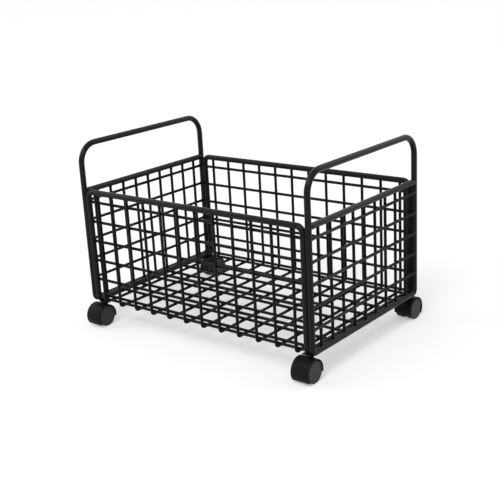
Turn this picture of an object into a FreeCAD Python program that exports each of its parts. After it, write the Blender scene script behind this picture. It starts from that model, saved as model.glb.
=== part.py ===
import FreeCAD, Part
import math
import os

# Rolling wire basket. Millimetres, Z up, origin on the floor under the middle of the basket.
# X runs along the length from end to end, Y from front to rear.

# Overall size of the frame, wheels included in the height
overall_length = 380.0
overall_depth = 250.0
overall_height = 260.0
rim_height = 193.0

# Rods and wires
frame_rod = 7.5
edge_rod = 7.5
rim_bar = 7.5
wire = 3.6
handle_bend = 26.0
corner_bend = 9.0
foot_bend = 6.0
wire_bend = 4.0

# Mesh
cross_wire_count = 12
floor_wire_count = 8
floor_wire_end_gap = 13.0
wall_wire_count = 6
wall_wire_top_gap = 14.4
end_upright_count = 9
end_upright_end_gap = 21.5

# Corner plates that carry the casters
plate_thickness = 1.5
plate_reach = 17.0
plate_margin = 6.0
plate_end_width = 10.0
plate_round = 5.0
stem_inset_x = 9.0
stem_inset_y = 7.0

# Casters
wheel_diameter = 28.4
wheel_width = 9.4
wheel_rim = 2.5
wheel_disc = 2.5
wheel_round = 1.5
wheel_inner_round = 0.6
hub_diameter = 8.0
axle_diameter = 3.0
axle_cover = 1.6
axle_end_gap = 0.2
trail = 7.0
web_thickness = 6.0
web_ground_gap = 1.5
hood_skin = 1.8
hood_leading_angle = 194.0
hood_trailing_angle = -38.0
boss_diameter = 10.0
stem_pin_diameter = 4.0
stem_pin_length = 13.0
stem_head_diameter = 6.0
stem_head_end_gap = 0.2
collar_diameter = 10.0
collar_thickness = 0.8

# Clearances, and the tolerance of the cuts
running_gap = 0.05
press_gap = 0.02
wheel_side_gap = 0.3
wheel_top_gap = 0.7
swivel_gap = 0.3
socket_end_gap = 0.3
cut_tolerance = 0.00001

# Places worked out from the sizes
V = FreeCAD.Vector
X_AXIS = V(1, 0, 0)
Y_AXIS = V(0, 1, 0)
Z_AXIS = V(0, 0, 1)

wheel_radius = wheel_diameter / 2
hood_inner = wheel_radius + wheel_top_gap
hood_outer = hood_inner + hood_skin
axle_z = wheel_radius
hood_top = axle_z + hood_outer
collar_z = hood_top + swivel_gap
plate_z = collar_z + collar_thickness
plate_top = plate_z + plate_thickness

frame_x = (overall_length - frame_rod) / 2
post_y = (overall_depth - frame_rod) / 2
handle_z = overall_height - frame_rod / 2
bottom_bar_z = plate_top + frame_rod / 2
leg_x = frame_x - (frame_rod + edge_rod) / 2
side_bar_z = plate_top + edge_rod / 2

# Two crossing layers of wire share the plane of the rod that carries them. The lowest wall wire lies
# where the bends of the cross wires begin.
layer = wire / 2
top_wall_wire_z = rim_height - wall_wire_top_gap
cross_wire_z = side_bar_z - layer
bottom_wall_wire_z = cross_wire_z + wire_bend

web_half = web_thickness / 2
wheel_inner_x = web_half + wheel_side_gap
wheel_outer_x = wheel_inner_x + wheel_width
axle_half = wheel_outer_x - axle_cover - axle_end_gap

SIDES = {"left": -1, "right": 1}
CORNERS = {"front_left": (-1, -1), "front_right": (1, -1), "rear_left": (-1, 1), "rear_right": (1, 1)}


def spread(first, last, count):
    """Evenly spaced values from first to last."""
    return [first + (last - first) * i / (count - 1) for i in range(count)]


def bar(start, end, diameter):
    """Straight round bar between two points."""
    along = end - start
    return Part.makeCylinder(diameter / 2, along.Length, start, along)


def bent_rod(points, radii, diameter):
    """Round rod through the points, each inner corner rounded by an arc of its own radius."""
    edges = []
    start = points[0]
    for before, corner, after, radius in zip(points, points[1:], points[2:], radii):
        back = (before - corner).normalize()
        ahead = (after - corner).normalize()
        half_angle = back.getAngle(ahead) / 2
        reach = radius / math.tan(half_angle)
        inset = radius / math.sin(half_angle) - radius
        arc_start = corner + back * reach
        arc_middle = corner + (back + ahead).normalize() * inset
        arc_end = corner + ahead * reach
        edges.append(Part.LineSegment(start, arc_start).toShape())
        edges.append(Part.Arc(arc_start, arc_middle, arc_end).toShape())
        start = arc_end
    edges.append(Part.LineSegment(start, points[-1]).toShape())
    section = Part.Wire(Part.makeCircle(diameter / 2, points[0], points[1] - points[0]))
    return Part.Wire(edges).makePipeShell([section], True, False)


def with_mirror(half, normal):
    """One solid from a half and its mirror image in the plane through the origin."""
    return half.fuse(half.mirror(V(0, 0, 0), normal)).removeSplitter().Solids[0]


def coped(solid, *rods):
    """The wire cut back to the surface of the rods that it is welded to, without the offcuts."""
    return max(solid.cut(list(rods), cut_tolerance).Solids, key=lambda length: length.Volume)


def end_frame(x):
    """Closed loop of rod: two posts, the handle on top and the bottom bar."""
    points = [
        V(x, 0, bottom_bar_z),
        V(x, post_y, bottom_bar_z),
        V(x, post_y, handle_z),
        V(x, 0, handle_z),
    ]
    return with_mirror(bent_rod(points, [foot_bend, handle_bend], frame_rod), Y_AXIS)


def end_rim_bar(x, frame):
    """Straight bar across the two posts at the height of the rim."""
    return coped(bar(V(x, -post_y, rim_height), V(x, post_y, rim_height), rim_bar), frame)


def wall_wire_heights():
    """Heights of the level wires in the front and rear walls, from the rim down."""
    return spread(top_wall_wire_z, bottom_wall_wire_z, wall_wire_count)


def end_upright_wires(side, rim, frame):
    """Upright wires from the rim bar down to the bottom bar, in the inner layer."""
    x = side * (frame_x - layer)
    outermost = post_y - end_upright_end_gap
    wires = []
    for y in spread(-outermost, outermost, end_upright_count):
        upright = bar(V(x, y, bottom_bar_z), V(x, y, rim_height), wire)
        wires.append(coped(upright, rim, frame))
    return wires


def end_level_wires(side, frame):
    """Level wires from post to post, in the outer layer; the bottom bar stands for the lowest."""
    x = side * (frame_x + layer)
    wires = []
    for z in wall_wire_heights()[:-1]:
        wires.append(coped(bar(V(x, -post_y, z), V(x, post_y, z), wire), frame))
    return wires


def basket_edge_rod():
    """Closed loop of rod round the centre panel: rims, legs beside the posts, side bars."""
    points = [
        V(0, -post_y, rim_height),
        V(leg_x, -post_y, rim_height),
        V(leg_x, -post_y, side_bar_z),
        V(leg_x, post_y, side_bar_z),
        V(leg_x, post_y, rim_height),
        V(0, post_y, rim_height),
    ]
    radii = [corner_bend, foot_bend, foot_bend, corner_bend]
    return with_mirror(bent_rod(points, radii, edge_rod), X_AXIS)


def cross_wires(edge):
    """Wires that run down the front, along the floor and up the rear, in the outer layer."""
    y = post_y + layer
    z = cross_wire_z
    pitch = 2 * leg_x / cross_wire_count
    wires = []
    for x in spread(-leg_x + pitch / 2, leg_x - pitch / 2, cross_wire_count):
        points = [V(x, -y, rim_height), V(x, -y, z), V(x, y, z), V(x, y, rim_height)]
        wires.append(coped(bent_rod(points, [wire_bend] * 2, wire), edge))
    return wires


def level_wires(places, edge):
    """Wires along X between the two halves of the edge rod, in the inner layer."""
    return [coped(bar(V(-leg_x, y, z), V(leg_x, y, z), wire), edge) for y, z in places]


def corner_plate(x_sign, y_sign):
    """Flat gusset under the side bar at a corner, with the hole for the caster's stem."""
    outer_x = frame_x + frame_rod / 2 - plate_margin
    outer_y = post_y + frame_rod / 2 - plate_margin
    inner_x = frame_x - plate_reach
    inner_y = post_y - plate_reach
    outline = [
        (outer_x - plate_round, outer_y),
        (inner_x, outer_y),
        (inner_x, outer_y - plate_end_width),
        (outer_x - plate_end_width, inner_y),
        (outer_x, inner_y),
        (outer_x, outer_y - plate_round),
    ]
    points = [V(x_sign * x, y_sign * y, plate_z) for x, y in outline]
    diagonal = plate_round * (1 - math.sqrt(0.5))
    middle = V(x_sign * (outer_x - diagonal), y_sign * (outer_y - diagonal), plate_z)
    edges = [Part.LineSegment(a, b).toShape() for a, b in zip(points, points[1:])]
    edges.append(Part.Arc(points[-1], middle, points[0]).toShape())
    plate = Part.Face(Part.Wire(edges)).extrude(Z_AXIS * plate_thickness)
    stem_hole = stem_head_diameter / 2 + press_gap
    hole = Part.makeCylinder(stem_hole, plate_thickness, stem_place(x_sign, y_sign) + Z_AXIS * plate_z)
    return plate.cut(hole)


def stem_place(x_sign, y_sign):
    """Where a caster's swivel axis meets the floor."""
    return V(x_sign * (frame_x - stem_inset_x), y_sign * (post_y - stem_inset_y), 0)


def caster_stem():
    """Stem riveted into the plate: head, collar, and below it the pin that the hood swivels on."""
    pin_z = collar_z - stem_pin_length
    head_length = plate_thickness - stem_head_end_gap
    pin = Part.makeCylinder(stem_pin_diameter / 2, stem_pin_length, V(0, 0, pin_z))
    collar = Part.makeCylinder(collar_diameter / 2, collar_thickness, V(0, 0, collar_z))
    head = Part.makeCylinder(stem_head_diameter / 2, head_length, V(0, 0, plate_z))
    return pin.fuse([collar, head]).removeSplitter().Solids[0]


def about_axle(radius, half_length):
    """Cylinder along the axle, centred between the wheels."""
    return Part.makeCylinder(radius, 2 * half_length, V(-half_length, trail, axle_z), X_AXIS)


def around_axle(radius, angle):
    """Point on a circle about the axle, at an angle up from the trailing side."""
    turn = math.radians(angle)
    return V(-wheel_outer_x, trail + radius * math.cos(turn), axle_z + radius * math.sin(turn))


def hood_fender():
    """Curved skin over the two wheels, lower on the trailing side."""
    middle_angle = (hood_leading_angle + hood_trailing_angle) / 2
    angles = [hood_trailing_angle, middle_angle, hood_leading_angle]
    outer = [around_axle(hood_outer, a) for a in angles]
    inner = [around_axle(hood_inner, a) for a in reversed(angles)]
    edges = [
        Part.Arc(*outer).toShape(),
        Part.LineSegment(outer[2], inner[0]).toShape(),
        Part.Arc(*inner).toShape(),
        Part.LineSegment(inner[2], outer[0]).toShape(),
    ]
    return Part.Face(Part.Wire(edges)).extrude(X_AXIS * (2 * wheel_outer_x))


def caster_hood():
    """Fender, the web between the wheels and the boss round the swivel pin, in one moulding."""
    well = about_axle(hood_inner, wheel_outer_x)
    boss = Part.makeCylinder(boss_diameter / 2, hood_outer, V(0, 0, axle_z)).cut(well)
    web_front = Part.makeBox(
        web_thickness,
        boss_diameter / 2 + trail + hood_inner,
        hood_outer,
        V(-web_half, -boss_diameter / 2, axle_z),
    )
    web = about_axle(hood_inner + hood_skin / 2, web_half).common(web_front)
    web_disc = about_axle(wheel_radius - web_ground_gap, web_half)
    socket_z = collar_z - stem_pin_length - socket_end_gap
    socket = Part.makeCylinder(stem_pin_diameter / 2 + running_gap, hood_top - socket_z, V(0, 0, socket_z))
    axle_hole = about_axle(axle_diameter / 2 + press_gap, web_half)
    return hood_fender().fuse([boss, web, web_disc]).removeSplitter().cut([socket, axle_hole]).Solids[0]


def caster_axle():
    """Plain pin held in the web, with a wheel on each end."""
    return about_axle(axle_diameter / 2, axle_half)


def caster_wheel(side):
    """Moulded wheel: plain outer face, hollow towards the web, blind hub on the axle."""
    centre = V(side * wheel_inner_x, trail, axle_z)
    outward = X_AXIS * side
    body = Part.makeCylinder(wheel_radius, wheel_width, centre, outward)
    outer_edge, inner_edge = rim_edges(body, centre)
    body = body.makeFillet(wheel_round, [outer_edge])
    outer_edge, inner_edge = rim_edges(body, centre)
    body = body.makeFillet(wheel_inner_round, [inner_edge])
    hollow_depth = wheel_width - wheel_disc
    hollow = Part.makeCylinder(wheel_radius - wheel_rim, hollow_depth, centre, outward)
    hub = Part.makeCylinder(hub_diameter / 2, hollow_depth, centre, outward)
    bore_depth = wheel_width - axle_cover
    bore = Part.makeCylinder(axle_diameter / 2 + running_gap, bore_depth, centre, outward)
    return body.cut(hollow.cut(hub)).cut(bore).Solids[0]


def rim_edges(body, centre):
    """The farthest and the nearest circular edge of a wheel, seen from its inner face."""
    circles = [e for e in body.Edges if isinstance(e.Curve, Part.Circle)]
    circles.sort(key=lambda e: abs(e.Curve.Center.x - centre.x))
    return circles[-1], circles[0]


def facing(piece, y_sign):
    """A caster's piece as it stands at the rear, or turned about to trail towards the front."""
    return piece if y_sign > 0 else piece.mirror(V(0, 0, 0), Y_AXIS)


def save(name, solids):
    """Write one node, a single solid or a group of them."""
    shape = solids[0] if len(solids) == 1 else Part.makeCompound(solids)
    shape.exportStep("parts/" + name + ".step")


def build_ends():
    for name, side in SIDES.items():
        frame = end_frame(side * frame_x)
        rim = end_rim_bar(side * frame_x, frame)
        save(name + "_end_frame", [frame])
        save(name + "_end_rim_bar", [rim])
        save(name + "_end_upright_wires", end_upright_wires(side, rim, frame))
        save(name + "_end_level_wires", end_level_wires(side, frame))


def build_centre_panel():
    edge = basket_edge_rod()
    wall_y = post_y - layer
    floor_z = side_bar_z + layer
    last_floor_y = post_y - floor_wire_end_gap
    floor_y = spread(-last_floor_y, last_floor_y, floor_wire_count)
    save("basket_edge_rod", [edge])
    save("cross_wires", cross_wires(edge))
    save("front_level_wires", level_wires([(-wall_y, z) for z in wall_wire_heights()], edge))
    save("rear_level_wires", level_wires([(wall_y, z) for z in wall_wire_heights()], edge))
    save("floor_level_wires", level_wires([(y, floor_z) for y in floor_y], edge))


def build_casters():
    pieces = {
        "caster_stem": caster_stem(),
        "caster_hood": caster_hood(),
        "caster_axle": caster_axle(),
        "caster_left_wheel": caster_wheel(SIDES["left"]),
        "caster_right_wheel": caster_wheel(SIDES["right"]),
    }
    for corner, signs in CORNERS.items():
        save(corner + "_corner_plate", [corner_plate(*signs)])
        for name, piece in pieces.items():
            save(corner + "_" + name, [facing(piece, signs[1]).translated(stem_place(*signs))])


os.makedirs("parts", exist_ok=True)
build_ends()
build_centre_panel()
build_casters()
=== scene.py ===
# %% [markdown]
# A rolling wire basket
#
# The object is a black wire basket that stands on four small casters. Its rods and wires are bent from
# round stock, welded where they cross, and powder coated all over. The casters are moulded in black
# plastic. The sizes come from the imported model, so this lesson starts by loading it. Every new piece
# below is drawn over one of its nodes, in metres, and takes that node's place in the picture.

# %% Load the model
import math

import bpy
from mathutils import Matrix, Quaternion, Vector


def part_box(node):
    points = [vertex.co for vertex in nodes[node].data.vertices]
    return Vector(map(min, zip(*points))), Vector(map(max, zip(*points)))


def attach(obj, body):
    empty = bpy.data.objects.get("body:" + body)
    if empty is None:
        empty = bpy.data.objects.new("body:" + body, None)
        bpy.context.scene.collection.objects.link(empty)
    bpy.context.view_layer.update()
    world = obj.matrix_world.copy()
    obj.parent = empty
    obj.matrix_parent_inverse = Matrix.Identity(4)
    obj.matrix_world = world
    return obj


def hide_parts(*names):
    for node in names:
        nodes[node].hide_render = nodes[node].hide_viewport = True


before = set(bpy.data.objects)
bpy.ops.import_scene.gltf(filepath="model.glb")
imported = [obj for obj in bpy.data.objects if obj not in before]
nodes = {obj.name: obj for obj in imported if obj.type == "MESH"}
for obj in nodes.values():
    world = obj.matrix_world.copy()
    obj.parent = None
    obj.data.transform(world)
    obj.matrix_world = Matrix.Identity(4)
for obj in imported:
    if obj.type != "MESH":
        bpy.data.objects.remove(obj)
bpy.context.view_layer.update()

# %% [markdown]
# Reading sizes off the model
#
# A node's box tells where it is. The rods are round, so half of a box's narrow side is a rod's radius,
# and the centre line lies that far inside the box. Bend radii cannot be read off a box, so they are
# given here.

# %% Sizes of the rods and wires
frame_low, frame_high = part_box("right_end_frame")
edge_low, edge_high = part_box("basket_edge_rod")
rim_low, rim_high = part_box("right_end_rim_bar")
level_low, level_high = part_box("front_level_wires")

FRAME_ROD = (frame_high.x - frame_low.x) / 2
FRAME_X = frame_high.x - FRAME_ROD
POST_Y = frame_high.y - FRAME_ROD
HANDLE_Z = frame_high.z - FRAME_ROD
BOTTOM_Z = frame_low.z + FRAME_ROD
EDGE_ROD = edge_high.y - POST_Y
LEG_X = edge_high.x - EDGE_ROD
RIM_Z = edge_high.z - EDGE_ROD
SIDE_BAR_Z = edge_low.z + EDGE_ROD
RIM_BAR = (rim_high.z - rim_low.z) / 2
WIRE = (level_high.y - level_low.y) / 2

HANDLE_BEND = 0.026
CORNER_BEND = 0.009
FOOT_BEND = 0.006
WIRE_BEND = 0.004
ROD_SIDES = 24
WIRE_SIDES = 16
print("rod radius", round(FRAME_ROD, 5), "edge rod", round(EDGE_ROD, 5), "wire", round(WIRE, 5))

# %% [markdown]
# Drawing a rod
#
# A bent rod can be a bevelled curve, but a bend made with Spin has its true radius and an even row of
# faces. So each rod starts as one ring of edges at its end. Extrude draws a straight run, and Spin
# draws a bend. A ring has no face, so it is only extruded in vertex or edge mode, and the helper sets
# vertex mode first. Without a window Spin turns the other way, so its angle is given with a minus sign.
# The model's rods are bare steel, and the powder coat adds a thin skin, so each ring is drawn that much
# wider.

# %% Helpers that draw a rod
MERGE = 1e-6
COAT = 0.0002
ROUND_ANGLE = 40


def start_ring(name, place, along, radius, sides):
    """A new object with one open ring, square to the direction along, ready in edit mode."""
    bpy.ops.object.select_all(action="DESELECT")
    turn = along.to_track_quat("Z", "Y").to_euler()
    bpy.ops.mesh.primitive_circle_add(vertices=sides, radius=radius, location=place, rotation=turn)
    bpy.ops.object.transform_apply(location=True, rotation=True, scale=True)
    piece = bpy.context.object
    piece.name = name
    bpy.ops.object.mode_set(mode="EDIT")
    bpy.ops.mesh.select_mode(type="VERT")
    bpy.ops.mesh.select_all(action="SELECT")
    return piece


def run(step):
    """Draws a straight run from the ring that is selected."""
    bpy.ops.mesh.extrude_region_move(TRANSFORM_OT_translate={"value": step})


def swell(centre, factor):
    """Makes the selected ring wider or narrower."""
    bpy.ops.transform.resize(value=(factor,) * 3, center_override=centre)


def bend(centre, axis, angle, steps):
    """Draws a bend from the ring that is selected, turning right-handed about the axis."""
    bpy.ops.mesh.spin(steps=steps, angle=-angle, center=centre, axis=axis)


def close_piece(smooth_angle=ROUND_ANGLE):
    """Welds the ends of a loop, caps open ends, turns the faces outwards and smooths them."""
    bpy.ops.mesh.select_all(action="SELECT")
    bpy.ops.mesh.remove_doubles(threshold=MERGE)
    bpy.ops.mesh.fill_holes(sides=0)
    bpy.ops.mesh.select_all(action="SELECT")
    bpy.ops.mesh.normals_make_consistent(inside=False)
    bpy.ops.object.mode_set(mode="OBJECT")
    bpy.ops.object.shade_smooth_by_angle(angle=math.radians(smooth_angle))


def draw_path(points, radii, steps):
    """Runs and bends through the points. The ring that is selected lies at the first point."""
    place = points[0]
    for before, corner, after, radius in zip(points, points[1:], points[2:], radii):
        back = (before - corner).normalized()
        ahead = (after - corner).normalized()
        half = back.angle(ahead) / 2
        reach = radius / math.tan(half)
        centre = corner + (back + ahead).normalized() * (radius / math.sin(half))
        run(corner + back * reach - place)
        bend(centre, ahead.cross(back), math.pi - 2 * half, steps)
        place = corner + ahead * reach
    run(points[-1] - place)


def draw_rod(name, points, radii, radius, steps):
    """A plain bent rod through the points."""
    piece = start_ring(name, points[0], points[1] - points[0], radius + COAT, ROD_SIDES)
    draw_path(points, radii, steps)
    close_piece()
    return piece


print("coat", COAT, "m thick, rods with", ROD_SIDES, "sides and wires with", WIRE_SIDES)

# %% [markdown]
# Standing in for a node
#
# Each new piece rides on the body that its node belongs to, hides the node and takes over its finish.
# One helper says all of that, so no piece is forgotten. An operator works on what is selected, so the
# helpers that copy a piece in a row and join pieces into one select what they need first.

# %% Helpers that dress, copy and join pieces
finishes = {}


def dress(piece, body, slot, node):
    """The piece rides on the body, stands for the node and gets the finish of its slot."""
    piece.data.materials.clear()
    piece.data.materials.append(finishes[slot])
    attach(piece, body)
    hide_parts(node)


def select_only(piece):
    """Selects one piece, which becomes the active one."""
    bpy.ops.object.select_all(action="DESELECT")
    piece.select_set(True)
    bpy.context.view_layer.objects.active = piece


def array(piece, count, step):
    """Copies a piece in a row, as an Array modifier that is applied."""
    select_only(piece)
    row = piece.modifiers.new("row", "ARRAY")
    row.count = count
    row.use_relative_offset = False
    row.use_constant_offset = True
    row.constant_offset_displace = step
    bpy.ops.object.modifier_apply(modifier=row.name)


def join(first, *others):
    """Joins the other pieces into the first."""
    select_only(first)
    for other in others:
        other.select_set(True)
    bpy.ops.object.join()
    return first


# %% [markdown]
# Shader maths as Python
#
# A finish is a small tree of nodes. Writing every Math node by hand hides the idea, so a socket is
# wrapped in a class whose plus, minus and times add the nodes. Any other node comes from one method of
# the sheet. A Mix node has sockets of the same name for numbers, vectors and colours, so those for
# colours are numbered.

# %% Classes for finishes
MIX_MASK = 0
MIX_FIRST = 6
MIX_SECOND = 7
MIX_RESULT = 2


class Value:
    """A socket whose value varies over the surface."""

    def __init__(self, sheet, socket):
        self.sheet = sheet
        self.socket = socket

    def maths(self, operation, first, second):
        """Adds a Math node."""
        return self.sheet.node("ShaderNodeMath", {"operation": operation}, {0: first, 1: second})

    def __add__(self, other):
        return self.maths("ADD", self, other)

    def __radd__(self, other):
        return self.maths("ADD", other, self)

    def __sub__(self, other):
        return self.maths("SUBTRACT", self, other)

    def __rsub__(self, other):
        return self.maths("SUBTRACT", other, self)

    def __mul__(self, other):
        return self.maths("MULTIPLY", self, other)

    def __rmul__(self, other):
        return self.maths("MULTIPLY", other, self)

    def over(self, limit):
        """The larger of the value and the limit."""
        return self.maths("MAXIMUM", self, limit)

    def size(self):
        """The value without its sign."""
        return self.maths("ABSOLUTE", self, 0)


class Sheet:
    """The node tree of one finish, with its main shader ready."""

    def __init__(self, name, **constants):
        self.owner = bpy.data.materials.new(name)
        self.owner.use_nodes = True
        self.tree = self.owner.node_tree
        self.shader = self.tree.nodes["Principled BSDF"]
        for socket, value in constants.items():
            self.shader.inputs[socket.replace("_", " ")].default_value = value
        self.place = self.node("ShaderNodeTexCoord", {}, {}, "Object")
        self.facing = self.node("ShaderNodeTexCoord", {}, {}, "Normal")

    def node(self, kind, settings, sockets, output=0):
        """Adds a node: its settings first, then the values or links of its sockets."""
        made = self.tree.nodes.new(kind)
        for name, value in settings.items():
            setattr(made, name, value)
        for name, value in sockets.items():
            if isinstance(value, Value):
                self.tree.links.new(value.socket, made.inputs[name])
            else:
                made.inputs[name].default_value = value
        return Value(self, made.outputs[output])

    def noise(self, scale, detail):
        """Cloudy values from 0 to 1. Scale counts the lumps in a metre."""
        sockets = {"Vector": self.place, "Scale": scale, "Detail": detail}
        return self.node("ShaderNodeTexNoise", {}, sockets, "Fac")

    def part(self, vector, axis):
        """One coordinate of a vector."""
        return self.node("ShaderNodeSeparateXYZ", {}, {0: vector}, axis)

    def ramp(self, value, low, high):
        """The value stretched so that low becomes 0 and high becomes 1, and held between them."""
        sockets = {"Value": value, "From Min": low, "From Max": high}
        return self.node("ShaderNodeMapRange", {"clamp": True}, sockets, "Result")

    def blend(self, mask, first, second):
        """First colour where the mask is 0, second colour where it is 1."""
        sockets = {MIX_MASK: mask, MIX_FIRST: first, MIX_SECOND: second}
        return self.node("ShaderNodeMix", {"data_type": "RGBA"}, sockets, MIX_RESULT)

    def bump(self, height, distance):
        """Small relief. Height runs from 0 to 1 and distance is its depth in metres."""
        return self.node("ShaderNodeBump", {}, {"Height": height, "Distance": distance}, "Normal")

    def finish(self, **sockets):
        """Links what varies over the surface to the main shader."""
        for name, value in sockets.items():
            self.tree.links.new(value.socket, self.shader.inputs[name.replace("_", " ")])
        return self.owner


def grey(level, tint=0.0):
    """A grey as a colour, with a touch of warmth where tint is over 0."""
    return (level * (1 + tint), level, level * (1 - tint), 1)


# %% [markdown]
# Powder coat
#
# The rods are sprayed with black powder and baked. The skin is satin, not flat: it has a fine orange
# peel about a millimetre across and faint clouds in its gloss. What faces up is painted a little
# lighter, partly as a trace of dust and partly as a painted highlight that shows the roundness of the
# rods. So noise at four scales gives these, and a bump carries the orange peel. On the thin wires the
# peel is finer, and they shine a little less than the rods.

# %% Finish of the rods and wires
CLOUD_SCALE = 38
DUST_AND_HIGHLIGHT_SCALE = 210
GRAIN_PER_PEEL = 5
DEEP_BLACK = grey(0.004)
SOFT_BLACK = grey(0.007)
# The grey of dust and of the painted highlight on the tops of the rods.
DUST_AND_HIGHLIGHT_GREY = grey(0.03, 0.03)
ROD_COAT = {"peel_scale": 820, "peel_depth": 0.00003, "sheen": 0.14}
WIRE_COAT = {"peel_scale": 1100, "peel_depth": 0.00002, "sheen": 0.09}


def powder_coat(name, peel_scale, peel_depth, sheen):
    """Black powder coat, with the scale and depth of its orange peel and the strength of its sheen."""
    sheet = Sheet(name, Specular_IOR_Level=sheen)
    clouds = sheet.noise(CLOUD_SCALE, detail=3)
    peel = sheet.noise(peel_scale, detail=2)
    grain = sheet.noise(peel_scale * GRAIN_PER_PEEL, detail=1)
    upward = sheet.ramp(sheet.part(sheet.facing, "Z"), low=0.35, high=1.0)
    # What faces up is painted lighter: partly dust, partly a painted highlight on the tops.
    dust_and_highlight = upward * sheet.ramp(sheet.noise(DUST_AND_HIGHLIGHT_SCALE, detail=4), low=0.45, high=0.75)
    coat = sheet.blend(clouds, DEEP_BLACK, SOFT_BLACK)
    colour = sheet.blend(dust_and_highlight * 0.25, coat, DUST_AND_HIGHLIGHT_GREY)
    roughness = 0.2 + clouds * 0.1 + grain * 0.05 + dust_and_highlight * 0.15
    relief = peel * 0.8 + grain * 0.2
    return sheet.finish(Base_Color=colour, Roughness=roughness, Normal=sheet.bump(relief, peel_depth))


finishes["coated_rod"] = powder_coat("powder_coat_rod", **ROD_COAT)
finishes["coated_wire"] = powder_coat("powder_coat_wire", **WIRE_COAT)
finishes["corner_plate"] = powder_coat("powder_coat_plate", **ROD_COAT)
print("coated finishes:", sorted(finishes))

# %% [markdown]
# Hood plastic
#
# The hoods of the casters are moulded in black plastic, with a fine spark-eroded grain. The grain is
# too fine to model, so a bump carries it, and the same noise breaks up the gloss.

# %% Finish of the hoods
HOOD_CLOUDS = 60
HOOD_GRAIN = 2600
HOOD_RELIEF = 0.00003
HOOD_BLACK = grey(0.003)
HOOD_PALER = grey(0.005)


def hood_plastic():
    """Black plastic with a fine grain from its mould."""
    sheet = Sheet("hood_plastic", Specular_IOR_Level=0.1)
    clouds = sheet.noise(HOOD_CLOUDS, detail=2)
    grain = sheet.noise(HOOD_GRAIN, detail=2)
    colour = sheet.blend(clouds, HOOD_BLACK, HOOD_PALER)
    roughness = 0.42 + grain * 0.12 + clouds * 0.06
    return sheet.finish(Base_Color=colour, Roughness=roughness, Normal=sheet.bump(grain, HOOD_RELIEF))


finishes["hood_plastic"] = hood_plastic()
print("hood finish:", finishes["hood_plastic"].name)

# %% [markdown]
# Wheel plastic
#
# The wheels are a little greyer than the hoods, and their treads are blacker and scuffed where they
# have rolled. Two materials could be given to the faces, but their border would be sharp. So one
# material has a mask: a tread faces away from the axle, and the X part of the normal tells it from the
# wheel's flat side.

# %% Finish of the wheels
WHEEL_CLOUDS = 80
WHEEL_GRAIN = 1900
WHEEL_RELIEF = 0.00004
SCUFF_SCALE = 420
WHEEL_DARK = grey(0.024)
WHEEL_PALER = grey(0.033)
TREAD_BLACK = grey(0.006)
SCUFF_GREY = grey(0.035, 0.04)


def wheel_plastic():
    """Dark grey plastic, blacker and scuffed on the tread."""
    sheet = Sheet("wheel_plastic", Specular_IOR_Level=0.25)
    clouds = sheet.noise(WHEEL_CLOUDS, detail=3)
    grain = sheet.noise(WHEEL_GRAIN, detail=2)
    tread = 1 - sheet.ramp(sheet.part(sheet.facing, "X").size(), low=0.25, high=0.75)
    scuffs = tread * sheet.ramp(sheet.noise(SCUFF_SCALE, detail=5), low=0.48, high=0.72)
    plain = sheet.blend(clouds, WHEEL_DARK, WHEEL_PALER)
    darker = sheet.blend(tread, plain, TREAD_BLACK)
    colour = sheet.blend(scuffs * 0.3, darker, SCUFF_GREY)
    roughness = 0.46 + grain * 0.08 + scuffs * 0.2
    relief = grain * 0.6 + scuffs * 0.4
    return sheet.finish(Base_Color=colour, Roughness=roughness, Normal=sheet.bump(relief, WHEEL_RELIEF))


finishes["wheel_plastic"] = wheel_plastic()
print("wheel finish:", finishes["wheel_plastic"].name)

# %% [markdown]
# Black zinc
#
# Stems and axles have a black zinc plate, a dark metal with soft patches. Noise alone looks like cloud,
# so Voronoi cells are mixed in for the patches. The plate is worn bright in places where the heads of
# the stems were riveted, which are the faces that look up.

# %% Finish of the stems and axles
PATCH_SCALE = 420
ZINC_CLOUDS = 150
ZINC_GRAIN = 3000
ZINC_RELIEF = 0.00002
WEAR_SCALE = 900
ZINC_DARK = grey(0.035)
ZINC_PALER = grey(0.065, 0.01)
WORN_STEEL = grey(0.42, 0.01)


def black_zinc():
    """Plated steel in soft patches, worn bright where a riveted head faces up."""
    sheet = Sheet("black_zinc")
    cells = {"Vector": sheet.place, "Scale": PATCH_SCALE}
    patches = sheet.node("ShaderNodeTexVoronoi", {}, cells, "Distance")
    clouds = sheet.noise(ZINC_CLOUDS, detail=4)
    grain = sheet.noise(ZINC_GRAIN, detail=2)
    plate = sheet.blend(clouds * 0.6 + patches * 0.4, ZINC_DARK, ZINC_PALER)
    struck = sheet.ramp(sheet.part(sheet.facing, "Z"), low=0.6, high=0.9)
    worn = struck * sheet.ramp(sheet.noise(WEAR_SCALE, detail=3), low=0.3, high=0.5)
    colour = sheet.blend(worn, plate, WORN_STEEL)
    roughness = 0.3 + clouds * 0.18 + patches * 0.1
    metallic = 0.85 + grain * 0.15
    relief = sheet.bump(grain, ZINC_RELIEF)
    return sheet.finish(Base_Color=colour, Roughness=roughness, Metallic=metallic, Normal=relief)


finishes["plated_steel"] = black_zinc()
print("finishes:", sorted(finishes))

# %% [markdown]
# End frames
#
# Each short end is one rod bent into a closed loop: bottom bar, two posts and the handle across the
# top. Posts and bars drawn one by one would leave seams at the bends, so the loop is drawn in one go.
# It starts in the middle of the bottom bar and comes back to it, the last ring lands on the first, and
# Merge by Distance closes the loop.

# %% End frames
SIDES = {"left": -1, "right": 1}
BEND_STEPS = 10

for name, side in SIDES.items():
    x = side * FRAME_X
    loop = [
        Vector((x, 0, BOTTOM_Z)),
        Vector((x, POST_Y, BOTTOM_Z)),
        Vector((x, POST_Y, HANDLE_Z)),
        Vector((x, -POST_Y, HANDLE_Z)),
        Vector((x, -POST_Y, BOTTOM_Z)),
        Vector((x, 0, BOTTOM_Z)),
    ]
    bends = [FOOT_BEND, HANDLE_BEND, HANDLE_BEND, FOOT_BEND]
    rod = draw_rod(name + "_frame_loop", loop, bends, FRAME_ROD, BEND_STEPS)
    dress(rod, "basket", "coated_rod", name + "_end_frame")
    print(rod.name, len(rod.data.polygons), "faces")

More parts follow.
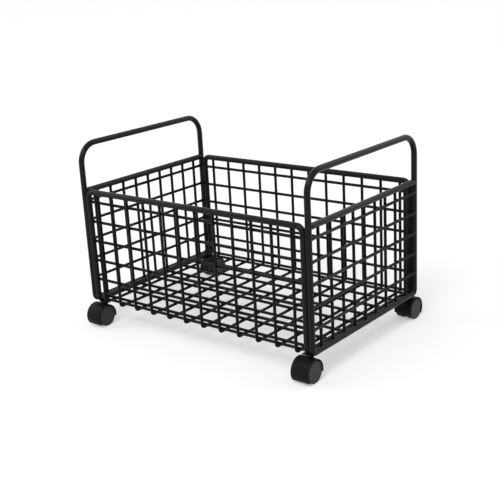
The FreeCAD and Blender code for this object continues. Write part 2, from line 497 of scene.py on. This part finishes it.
# %% [markdown]
# Welded ends
#
# A wire is welded to a rod by pressing it on with a current. A little metal squeezes out, so the wire
# widens just before it meets the rod. A wire that simply ran into the rod would look cut off there.
# Three rings show the weld: one inside the rod, one at its surface and wider, and one a short way out,
# where the wire has its own size again. The first pieces made so are the straight bars that join the
# posts at the height of the rim. They are as thick as the posts, so they widen much less.

# %% Welded wires and the end rim bars
WELD_FLARE = 1.22
RIM_FLARE = 1.05
WELD_ROOT = 0.7
WELD_REACH = 0.0016
WIRE_BEND_STEPS = 6


def draw_wire(name, points, radii, seat, radius=WIRE, sides=WIRE_SIDES, flare=WELD_FLARE):
    """A wire whose two ends, on the centre lines of rods, flare where they meet the rods' surface."""
    first = (points[1] - points[0]).normalized()
    last = (points[-1] - points[-2]).normalized()
    piece = start_ring(name, points[0], first, (radius + COAT) * WELD_ROOT, sides)
    run(first * seat)
    swell(points[0] + first * seat, flare / WELD_ROOT)
    start = points[0] + first * (seat + WELD_REACH)
    run(first * WELD_REACH)
    swell(start, 1 / flare)
    end = points[-1] - last * (seat + WELD_REACH)
    draw_path([start, *points[1:-1], end], radii, WIRE_BEND_STEPS)
    run(last * WELD_REACH)
    swell(end + last * WELD_REACH, flare)
    run(last * seat)
    swell(points[-1], WELD_ROOT / flare)
    close_piece()
    return piece


def rounded_seat(rod, offset):
    """How far a rod's surface lies from its centre line, for a wire set off to one side of it."""
    return math.sqrt(rod * rod - offset * offset)


for name, side in SIDES.items():
    x = side * FRAME_X
    across = [Vector((x, -POST_Y, RIM_Z)), Vector((x, POST_Y, RIM_Z))]
    rim = draw_wire(name + "_rim_rod", across, [], FRAME_ROD, RIM_BAR, ROD_SIDES, RIM_FLARE)
    dress(rim, "basket", "coated_rod", name + "_end_rim_bar")
    print(rim.name, len(rim.data.polygons), "faces")

# %% [markdown]
# Weld spots
#
# Where two wires cross, the same squeeze leaves a small cushion of metal between them. It is an
# icosphere pressed flat: there are hundreds, and it looks round with fewer faces than a UV sphere. A
# row of them is made with an Array modifier and joined to the wire that they belong to, before the wire
# itself is copied. Where the wires lie is read off the box of their node.

# %% Helpers for rows of weld spots
SPOT_WIDTH = 1.22
SPOT_DEPTH = 0.8
SPOT_DETAIL = 2


def weld_row(place, flat_axis, count, step):
    """A row of weld spots, pressed flat along one axis."""
    bpy.ops.object.select_all(action="DESELECT")
    bpy.ops.mesh.primitive_ico_sphere_add(subdivisions=SPOT_DETAIL, radius=WIRE, location=place)
    bpy.ops.object.transform_apply(location=True, rotation=True, scale=True)
    spot = bpy.context.object
    bpy.ops.object.mode_set(mode="EDIT")
    bpy.ops.mesh.select_all(action="SELECT")
    sizes = [SPOT_DEPTH if axis == flat_axis else SPOT_WIDTH for axis in "XYZ"]
    bpy.ops.transform.resize(value=sizes, center_override=place)
    bpy.ops.object.mode_set(mode="OBJECT")
    bpy.ops.object.shade_smooth()
    array(spot, count, step)
    return spot


def spread(node, axis):
    """First and last centre line of the wires in a node, along one axis."""
    low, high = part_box(node)
    return getattr(low, axis) + WIRE, getattr(high, axis) - WIRE


# %% [markdown]
# End walls
#
# Five level wires lie outside nine uprights, both layers sharing the plane of the frame's rod: one
# layer lies half a wire outside it and the other half a wire inside. The weld spots sit between the
# layers. The wires of a layer are alike and evenly spaced, so one is drawn and an Array modifier copies
# it.

# %% Wires of the end walls
END_UPRIGHTS = 9
END_LEVELS = 5
first_upright, last_upright = spread("right_end_upright_wires", "y")
low_level, high_level = spread("right_end_level_wires", "z")
upright_step = (last_upright - first_upright) / (END_UPRIGHTS - 1)
level_step = (high_level - low_level) / (END_LEVELS - 1)

for name, side in SIDES.items():
    x = side * (FRAME_X - WIRE)
    foot = Vector((x, first_upright, BOTTOM_Z))
    head = Vector((x, first_upright, RIM_Z))
    upright = draw_wire(name + "_upright_wires", [foot, head], [], rounded_seat(RIM_BAR, WIRE))
    array(upright, END_UPRIGHTS, (0, upright_step, 0))
    dress(upright, "basket", "coated_wire", name + "_end_upright_wires")

    x = side * (FRAME_X + WIRE)
    across = [Vector((x, -POST_Y, low_level)), Vector((x, POST_Y, low_level))]
    level = draw_wire(name + "_level_wires", across, [], rounded_seat(FRAME_ROD, WIRE))
    first_spot = Vector((side * FRAME_X, first_upright, low_level))
    level = join(level, weld_row(first_spot, "X", END_UPRIGHTS, (0, upright_step, 0)))
    array(level, END_LEVELS, (0, 0, level_step))
    dress(level, "basket", "coated_wire", name + "_end_level_wires")
    print(name, "end wall:", len(upright.data.polygons) + len(level.data.polygons), "faces")

# %% [markdown]
# Centre panel
#
# One closed rod edges the front, the floor and the rear: it runs along the front rim, turns down beside
# the post, along under the basket's side, up again and back along the rear rim. It is drawn as the end
# frames are. Twelve cross wires follow it, each bent twice, and the level wires lie on their inside.
# One cross wire is drawn and copied in a row.

# %% Edge rod and cross wires
CROSS_WIRES = 12
edge_loop = [
    Vector((0, -POST_Y, RIM_Z)),
    Vector((LEG_X, -POST_Y, RIM_Z)),
    Vector((LEG_X, -POST_Y, SIDE_BAR_Z)),
    Vector((LEG_X, POST_Y, SIDE_BAR_Z)),
    Vector((LEG_X, POST_Y, RIM_Z)),
    Vector((-LEG_X, POST_Y, RIM_Z)),
    Vector((-LEG_X, POST_Y, SIDE_BAR_Z)),
    Vector((-LEG_X, -POST_Y, SIDE_BAR_Z)),
    Vector((-LEG_X, -POST_Y, RIM_Z)),
    Vector((0, -POST_Y, RIM_Z)),
]
edge_bends = [CORNER_BEND, FOOT_BEND, FOOT_BEND, CORNER_BEND] * 2
edge = draw_rod("edge_loop", edge_loop, edge_bends, EDGE_ROD, BEND_STEPS)
dress(edge, "basket", "coated_rod", "basket_edge_rod")

first_cross, last_cross = spread("cross_wires", "x")
cross_step = (last_cross - first_cross) / (CROSS_WIRES - 1)
outer_y = POST_Y + WIRE
under_z = SIDE_BAR_Z - WIRE
hoop = [
    Vector((first_cross, -outer_y, RIM_Z)),
    Vector((first_cross, -outer_y, under_z)),
    Vector((first_cross, outer_y, under_z)),
    Vector((first_cross, outer_y, RIM_Z)),
]
cross = draw_wire("cross_wire_hoops", hoop, [WIRE_BEND] * 2, rounded_seat(EDGE_ROD, WIRE))
array(cross, CROSS_WIRES, (cross_step, 0, 0))
dress(cross, "basket", "coated_wire", "cross_wires")
print("edge rod", len(edge.data.polygons), "cross wires", len(cross.data.polygons), "faces")

# %% [markdown]
# Level wires
#
# Straight wires run the whole length between the legs of the edge rod, six in the front, six in the
# rear and eight in the floor. One wire with its row of weld spots is drawn for each, and the Array
# modifier copies both together, up the wall or across the floor.

# %% Level wires of the front, the rear and the floor
WALL_LEVELS = 6
FLOOR_LEVELS = 8
seat = rounded_seat(EDGE_ROD, WIRE)
low_wall, high_wall = spread("front_level_wires", "z")
first_floor, last_floor = spread("floor_level_wires", "y")
wall_step = (high_wall - low_wall) / (WALL_LEVELS - 1)
floor_step = (last_floor - first_floor) / (FLOOR_LEVELS - 1)


def level_wires(name, y, z, spot_place, flat_axis, count, step):
    """Level wires along the length, with a weld spot at each cross wire."""
    across = [Vector((-LEG_X, y, z)), Vector((LEG_X, y, z))]
    level = draw_wire(name + "_levels", across, [], seat)
    level = join(level, weld_row(spot_place, flat_axis, CROSS_WIRES, (cross_step, 0, 0)))
    array(level, count, step)
    dress(level, "basket", "coated_wire", name + "_level_wires")
    print(level.name, len(level.data.polygons), "faces")


for name, facing in (("front", -1), ("rear", 1)):
    spot_place = Vector((first_cross, facing * POST_Y, low_wall))
    wall_y = facing * (POST_Y - WIRE)
    level_wires(name, wall_y, low_wall, spot_place, "Y", WALL_LEVELS, (0, 0, wall_step))
spot_place = Vector((first_cross, first_floor, SIDE_BAR_Z))
floor_z = SIDE_BAR_Z + WIRE
level_wires("floor", first_floor, floor_z, spot_place, "Z", FLOOR_LEVELS, (0, floor_step, 0))

# %% [markdown]
# Selecting by place
#
# By hand one clicks on a face. A script tells a face by where its middle is or which way it looks, so
# this helper takes a test and selects what passes it. Selections are set in object mode and used in
# edit mode.

# %% Helper that selects by place
FACING = 0.9


def pick(piece, kind, test):
    """Selects, in edit mode, the vertices or faces that pass the test."""
    bpy.ops.object.mode_set(mode="EDIT")
    bpy.ops.mesh.select_mode(type=kind)
    bpy.ops.mesh.select_all(action="DESELECT")
    bpy.ops.object.mode_set(mode="OBJECT")
    mesh = piece.data
    if kind == "VERT":
        for vertex in mesh.vertices:
            vertex.select = test(vertex.co)
    if kind == "FACE":
        for face in mesh.polygons:
            face.select = test(face.center, face.normal)
    bpy.ops.object.mode_set(mode="EDIT")


# %% [markdown]
# Corner plates
#
# A small gusset welded under each corner carries a caster, coated like the rods. A Boolean could cut it
# to shape, but a flat sheet is easier to shape before it is thick. So it starts as a plane of the
# gusset's size. Bisect cuts off the inner corner, the outer corner is rounded with a vertex bevel, and
# Extrude gives the sheet its thickness. A last bevel breaks its sharp edges.

# %% Corner plates
CORNERS = {"front_left": (-1, -1), "front_right": (1, -1), "rear_left": (-1, 1), "rear_right": (1, 1)}
PLATE_END = 0.010
PLATE_ROUND = 0.005
PLATE_ROUND_STEPS = 6
PLATE_EDGE = 0.0003
PLATE_EDGE_STEPS = 2
STEP_ANGLE = 30

for corner, (x_sign, y_sign) in CORNERS.items():
    low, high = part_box(corner + "_corner_plate")
    middle = (low + high) / 2
    half = (high.x - low.x) / 2
    bpy.ops.object.select_all(action="DESELECT")
    bpy.ops.mesh.primitive_plane_add(size=2 * half, location=(middle.x, middle.y, low.z))
    bpy.ops.object.transform_apply(location=True, rotation=True, scale=True)
    plate = bpy.context.object
    plate.name = corner + "_gusset"
    inward = Vector((-x_sign, -y_sign, 0)).normalized()
    cut_point = Vector((middle.x - x_sign * half, middle.y + y_sign * (half - PLATE_END), low.z))
    bpy.ops.object.mode_set(mode="EDIT")
    bpy.ops.mesh.select_all(action="SELECT")
    bpy.ops.mesh.bisect(plane_co=cut_point, plane_no=inward, clear_outer=True, use_fill=False)
    outer = Vector((middle.x + x_sign * half, middle.y + y_sign * half, low.z))
    pick(plate, "VERT", lambda co: (co - outer).length < PLATE_EDGE)
    bpy.ops.mesh.bevel(offset=PLATE_ROUND, segments=PLATE_ROUND_STEPS, affect="VERTICES")
    bpy.ops.mesh.select_all(action="SELECT")
    run(Vector((0, 0, high.z - low.z)))
    bpy.ops.mesh.select_all(action="SELECT")
    bpy.ops.mesh.normals_make_consistent(inside=False)
    pick(plate, "FACE", lambda centre, normal: abs(normal.z) > FACING)
    bpy.ops.mesh.bevel(offset=PLATE_EDGE, segments=PLATE_EDGE_STEPS, affect="EDGES")
    close_piece(STEP_ANGLE)
    dress(plate, "basket", "corner_plate", corner + "_corner_plate")
print("corner plates:", len(plate.data.polygons), "faces each")

# %% [markdown]
# Stems
#
# A caster hangs on a short stem: a pin for the hood to turn on, a collar under the plate, and a head
# that is riveted into the plate's hole. Stacked cylinders would leave faces hidden inside. It is a
# turned shape, so one ring is extruded and swelled as a lathe would step it. A thin chamfer at each
# step catches the light.

# %% Stems
STEM_SOFT = 0.0002
PIN_RADIUS = 0.002
HEAD_RADIUS = 0.003
SWIVEL_GAP = 0.0003
hood_low, hood_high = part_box("rear_right_caster_hood")
plate_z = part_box("rear_right_corner_plate")[0].z
collar_z = hood_high.z + SWIVEL_GAP


def stem_piece(name, place, sizes):
    """A turned pin: sizes are pairs of height and radius, from the bottom up."""
    low_z, radius = sizes[0]
    point = Vector((place.x, place.y, low_z))
    piece = start_ring(name, point, Vector((0, 0, 1)), radius, ROD_SIDES)
    for height, wanted in sizes[1:]:
        run(Vector((0, 0, height - point.z)))
        point.z = height
        swell(point, wanted / radius)
        radius = wanted
    close_piece(STEP_ANGLE)
    return piece


def stem_sizes(low, high):
    """Heights and radii of a stem: pin, collar with soft edges, and head."""
    collar = (high.x - low.x) / 2
    tip = STEM_SOFT * 2
    return [
        (low.z, PIN_RADIUS - tip),
        (low.z + tip, PIN_RADIUS),
        (collar_z, PIN_RADIUS),
        (collar_z, collar - STEM_SOFT),
        (collar_z + STEM_SOFT, collar),
        (plate_z - STEM_SOFT, collar),
        (plate_z, collar - STEM_SOFT),
        (plate_z, HEAD_RADIUS),
        (high.z - STEM_SOFT, HEAD_RADIUS),
        (high.z, HEAD_RADIUS - STEM_SOFT),
    ]


for corner in CORNERS:
    low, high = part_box(corner + "_caster_stem")
    stem = stem_piece(corner + "_stem", (low + high) / 2, stem_sizes(low, high))
    dress(stem, "basket", "plated_steel", corner + "_caster_stem")
print("stem height", round(stem.dimensions.z, 5), len(stem.data.polygons), "faces")

# %% [markdown]
# Casters
#
# A twin-wheel caster is a moulded hood with a wheel on each side of its web. All four are alike, so
# each piece is modelled once, at the rear right corner, and copied to the others. The sizes are read
# off that corner's boxes, and two helpers draw what the hood is made of: a strip turned about the axle,
# and a short round bar.

# %% Sizes of a caster
wheel_low, wheel_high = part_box("rear_right_caster_right_wheel")
stem_low, stem_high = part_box("rear_right_caster_stem")
AXLE = Vector((stem_low.x + stem_high.x, wheel_low.y + wheel_high.y, wheel_low.z + wheel_high.z)) / 2
STEM = (stem_low + stem_high) / 2
WHEEL = (wheel_high.z - wheel_low.z) / 2
WHEEL_IN = wheel_low.x - AXLE.x
WHEEL_OUT = wheel_high.x - AXLE.x
HOOD_OUTER = hood_high.z - AXLE.z
HOOD_SKIN = 0.0018
HOOD_INNER = HOOD_OUTER - HOOD_SKIN
HOOD_TRAILING = math.radians(-38)
HOOD_LEADING = math.radians(194)
NECK_LEADING = math.radians(140)
WEB_HALF = 0.003
WEB_RADIUS = AXLE.z - hood_low.z
BOSS = 0.005
SOFT = 0.0006
X_AXIS = Vector((1, 0, 0))
print("wheel radius", round(WHEEL, 5), "axle height", round(AXLE.z, 5))

# %% Helpers that draw the pieces of a caster
SPIN_STEPS = 36
STRIP_STEPS = 4
BAR_SIDES = 48
BAR_STEPS = 3


def about_axle(radius, angle):
    """A point at a radius from the axle, at an angle up from the trailing side."""
    return AXLE + Vector((0, radius * math.cos(angle), radius * math.sin(angle)))


def swept_strip(name, half_width, inner, outer, soft, start, end):
    """A strip across the caster with rounded edges, turned about the axle from start to end."""
    centre = about_axle((inner + outer) / 2, start)
    bpy.ops.object.select_all(action="DESELECT")
    bpy.ops.mesh.primitive_plane_add(size=1, location=centre, rotation=(start, 0, 0))
    strip = bpy.context.object
    strip.name = name
    strip.scale = (2 * half_width, outer - inner, 1)
    bpy.ops.object.transform_apply(location=True, rotation=True, scale=True)
    bpy.ops.object.mode_set(mode="EDIT")
    bpy.ops.mesh.select_all(action="SELECT")
    bpy.ops.mesh.bevel(offset=soft, segments=STRIP_STEPS, affect="VERTICES")
    bpy.ops.mesh.select_all(action="SELECT")
    bpy.ops.mesh.delete(type="ONLY_FACE")
    bpy.ops.mesh.select_all(action="SELECT")
    bend(AXLE, X_AXIS, end - start, SPIN_STEPS)
    close_piece()
    return strip


def round_bar(name, start, end, radius, soft, sides=BAR_SIDES):
    """A short round bar with rounded rims."""
    piece = start_ring(name, start, end - start, radius, sides)
    run(end - start)
    close_piece()
    along = (end - start).normalized()
    pick(piece, "FACE", lambda centre, normal: abs(normal.dot(along)) > FACING)
    bpy.ops.mesh.bevel(offset=soft, segments=BAR_STEPS, affect="EDGES")
    close_piece()
    return piece


# %% [markdown]
# Hood
#
# The fender could be cut from a tube, but its long edges would be sharp. It is a flat strip with
# rounded corners that Spin turns about the axle. It arches over the wheels and reaches down before and
# behind them, lower on the trailing side. A web between the wheels holds the axle, a neck joins it to
# the fender, and a round boss takes the stem. The boss would reach into the room of the wheels, so a
# Boolean modifier cuts that room out of it.

# %% Hood of one caster
WELL_SIDES = 96

fender = swept_strip("fender", WHEEL_OUT, HOOD_INNER, HOOD_OUTER, SOFT, HOOD_TRAILING, HOOD_LEADING)
neck = swept_strip("neck", WEB_HALF, WEB_RADIUS - SOFT, HOOD_INNER + SOFT, SOFT, 0, NECK_LEADING)
web = round_bar("web", AXLE - X_AXIS * WEB_HALF, AXLE + X_AXIS * WEB_HALF, WEB_RADIUS, SOFT)
boss_foot = Vector((STEM.x, STEM.y, AXLE.z + WEB_RADIUS / 2))
boss_top = Vector((STEM.x, STEM.y, hood_high.z))
boss = round_bar("boss", boss_foot, boss_top, BOSS, SOFT)
reach = X_AXIS * WHEEL_OUT
well = round_bar("well", AXLE - reach, AXLE + reach, HOOD_INNER, SOFT, WELL_SIDES)
select_only(boss)
cut = boss.modifiers.new("wheel_well", "BOOLEAN")
cut.operation = "DIFFERENCE"
cut.object = well
bpy.ops.object.modifier_apply(modifier=cut.name)
bpy.data.objects.remove(well)
hood = join(fender, neck, web, boss)
print("hood", len(hood.data.polygons), "faces")

# %% [markdown]
# Wheels
#
# A wheel is a disc with a plain outer face, and two insets sink the face a little inside a narrow rim.
# The outer edge of the tread is rounded with a bevel, as moulded wheels are. The inner face is hollowed
# around the hub, which shows when the caster is seen from below. A spun profile would do as well, but
# on a disc the faces are quickly picked and shaped one after the other.

# %% One wheel
RIM_WIDTH = 0.0021
FACE_SINK = 0.00045
TREAD_ROUND = 0.0015
TREAD_STEPS = 5
WHEEL_SIDES = 64
FACE_ANGLE = 25
INNER_RIM = 0.0025
INNER_SINK = 0.0069
HUB = 0.004
FACE_SOFT = 0.0002


def wheel_piece(name, side):
    """A wheel on one side of the web, with its face outwards."""
    outward = X_AXIS * side
    piece = start_ring(name, AXLE + outward * WHEEL_IN, outward, WHEEL, WHEEL_SIDES)
    run(outward * (WHEEL_OUT - WHEEL_IN))
    close_piece()
    outer_x = AXLE.x + side * WHEEL_OUT
    inner_x = AXLE.x + side * WHEEL_IN
    pick(piece, "FACE", lambda centre, normal: abs(centre.x - outer_x) < MERGE)
    bpy.ops.mesh.bevel(offset=TREAD_ROUND, segments=TREAD_STEPS, affect="EDGES")
    pick(piece, "FACE", lambda centre, normal: abs(centre.x - outer_x) < MERGE)
    bpy.ops.mesh.inset(thickness=RIM_WIDTH - TREAD_ROUND)
    bpy.ops.mesh.inset(thickness=FACE_SOFT)
    bpy.ops.transform.translate(value=-outward * FACE_SINK)
    pick(piece, "FACE", lambda centre, normal: abs(centre.x - inner_x) < MERGE)
    bpy.ops.mesh.inset(thickness=INNER_RIM)
    bpy.ops.mesh.inset(thickness=FACE_SOFT)
    bpy.ops.transform.translate(value=outward * INNER_SINK)
    bpy.ops.mesh.inset(thickness=WHEEL - INNER_RIM - FACE_SOFT - HUB)
    bpy.ops.mesh.inset(thickness=FACE_SOFT)
    bpy.ops.transform.translate(value=-outward * INNER_SINK)
    close_piece(FACE_ANGLE)
    return piece


left_wheel = wheel_piece("left_wheel", -1)
right_wheel = wheel_piece("right_wheel", 1)
print("wheel", len(right_wheel.data.polygons), "faces")

# %% [markdown]
# Four casters from one
#
# As the basket stands, its rear casters trail to the rear and its front ones to the front. A front copy
# is turned half round, and its left wheel becomes the right one. Each copy has a mesh of its own, and
# its object stays at the origin, so the finish keeps its scale and place on every caster.

# %% Copies of the caster
patterns = {"hood": hood, "left_wheel": left_wheel, "right_wheel": right_wheel}
turned_parts = {"hood": "hood", "left_wheel": "right_wheel", "right_wheel": "left_wheel"}
for corner, signs in CORNERS.items():
    low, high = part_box(corner + "_caster_stem")
    turned = signs[1] < 0
    for pattern_part, pattern in patterns.items():
        part = turned_parts[pattern_part] if turned else pattern_part
        select_only(pattern)
        bpy.ops.object.duplicate(linked=False)
        copy = bpy.context.object
        copy.name = corner + "_" + part
        copy.rotation_euler.z = math.pi if turned else 0
        copy.location = (low + high) / 2 - copy.rotation_euler.to_matrix() @ STEM
        bpy.ops.object.transform_apply(location=True, rotation=True, scale=False)
        if part == "hood":
            dress(copy, corner + "_caster", "hood_plastic", corner + "_caster_hood")
        else:
            dress(copy, corner + "_" + part, "wheel_plastic", corner + "_caster_" + part)
    axle = nodes[corner + "_caster_axle"]
    axle.data.materials.clear()
    axle.data.materials.append(finishes["plated_steel"])
for pattern in patterns.values():
    bpy.data.objects.remove(pattern)
print("casters placed:", len(CORNERS))

# %% [markdown]
# Floor and background
#
# The basket stands on a plain pale floor with white behind it. A lit floor is a little darker than
# white, so its material adds a faint glow that only the camera, reflections and clear things see. The
# lamps do not reach far, so the glow is stronger away from the basket. It does not light the basket,
# and the shadow stays. The world is white to the camera too, and dimmer to the surfaces.

# %% Floor and world
FLOOR_SIZE = 60.0
FLOOR_GREY = grey(0.7)
NEAR_GLOW = 0.38
FAR_GLOW = 0.64
GLOW_START = 0.3
GLOW_END = 3.0
SKY_LIGHT = 0.5


class Sky(Sheet):
    """The node tree of the world, with its background shader ready."""

    def __init__(self, name):
        self.owner = bpy.data.worlds.new(name)
        self.owner.use_nodes = True
        self.tree = self.owner.node_tree
        self.shader = self.tree.nodes["Background"]
        self.shader.inputs["Color"].default_value = grey(1)


def seen_directly(sheet):
    """1 for what the camera sees itself, in a mirror or through glass, and 0 for light on surfaces."""
    camera_ray = sheet.node("ShaderNodeLightPath", {}, {}, "Is Camera Ray")
    glossy_ray = sheet.node("ShaderNodeLightPath", {}, {}, "Is Glossy Ray")
    clear_ray = sheet.node("ShaderNodeLightPath", {}, {}, "Is Transmission Ray")
    return camera_ray.over(glossy_ray).over(clear_ray)


def pale_floor():
    """A matt pale floor that glows a little to the camera, and more away from the basket."""
    matt = {"Roughness": 1.0, "Specular_IOR_Level": 0.0, "Emission_Strength": 1.0}
    sheet = Sheet("pale_floor", Base_Color=FLOOR_GREY, **matt)
    away = sheet.node("ShaderNodeVectorMath", {"operation": "LENGTH"}, {0: sheet.place}, "Value")
    level = NEAR_GLOW + sheet.ramp(away, GLOW_START, GLOW_END) * (FAR_GLOW - NEAR_GLOW)
    glow = sheet.blend(seen_directly(sheet) * level, grey(0), grey(1))
    return sheet.finish(Emission_Color=glow)


bpy.ops.object.select_all(action="DESELECT")
bpy.ops.mesh.primitive_plane_add(size=FLOOR_SIZE, location=(0, 0, 0))
floor = bpy.context.object
floor.name = "floor"
floor.data.materials.append(pale_floor())

sky = Sky("studio")
bpy.context.scene.world = sky.finish(Strength=SKY_LIGHT + seen_directly(sky) * (1 - SKY_LIGHT))
print("floor", FLOOR_SIZE, "m wide")

# %% [markdown]
# Lamps
#
# A black rod shows mostly by what it mirrors, so large soft lamps draw long highlights on it. The main
# lamp stands in front and above, a weaker one lights the left end, and a third the rear. Each is an
# area lamp with its place, width in metres and power in watts, turned to the middle of the basket.

# %% Lamps
LAMPS = {
    "key": ((0.5, -1.6, 1.9), 1.0, 28),
    "left_fill": ((-1.9, -0.7, 1.2), 1.6, 12),
    "rear_fill": ((0.9, 1.7, 1.5), 1.6, 8),
}
basket_middle = Vector((0, 0, RIM_Z / 2))
for name, (place, size, watts) in LAMPS.items():
    bpy.ops.object.select_all(action="DESELECT")
    bpy.ops.object.light_add(type="AREA", location=place)
    lamp = bpy.context.object
    lamp.name = name
    lamp.data.size = size
    lamp.data.energy = watts
    lamp.rotation_euler = (basket_middle - Vector(place)).to_track_quat("-Z", "Y").to_euler()
    print(name, "lamp", watts, "W")

# %% [markdown]
# Camera
#
# The picture is taken from the front right, a little above the rim, with the camera held slightly
# askew. A Track To constraint could aim it, but would leave no room for the roll. So the camera is
# turned to a point on the basket's middle line and then rolled about its own axis.

# %% Camera
CAMERA_PLACE = Vector((0.8032, -0.9816, 0.5040))
CAMERA_TARGET = Vector((0.0003, 0, 0.1035))
CAMERA_ROLL = math.radians(-3.11)
CAMERA_LENS = 69.96
SENSOR_WIDTH = 36

camera_data = bpy.data.cameras.new("camera")
camera_data.lens = CAMERA_LENS
camera_data.sensor_width = SENSOR_WIDTH
camera = bpy.data.objects.new("camera", camera_data)
bpy.context.scene.collection.objects.link(camera)
camera.location = CAMERA_PLACE
aim = (CAMERA_TARGET - CAMERA_PLACE).to_track_quat("-Z", "Y")
roll = Quaternion((0, 0, 1), CAMERA_ROLL)
camera.rotation_mode = "QUATERNION"
camera.rotation_quaternion = aim @ roll
bpy.context.scene.camera = camera
bpy.context.scene.view_settings.view_transform = "Standard"
print("camera", round((CAMERA_TARGET - CAMERA_PLACE).length, 3), "m from the basket")
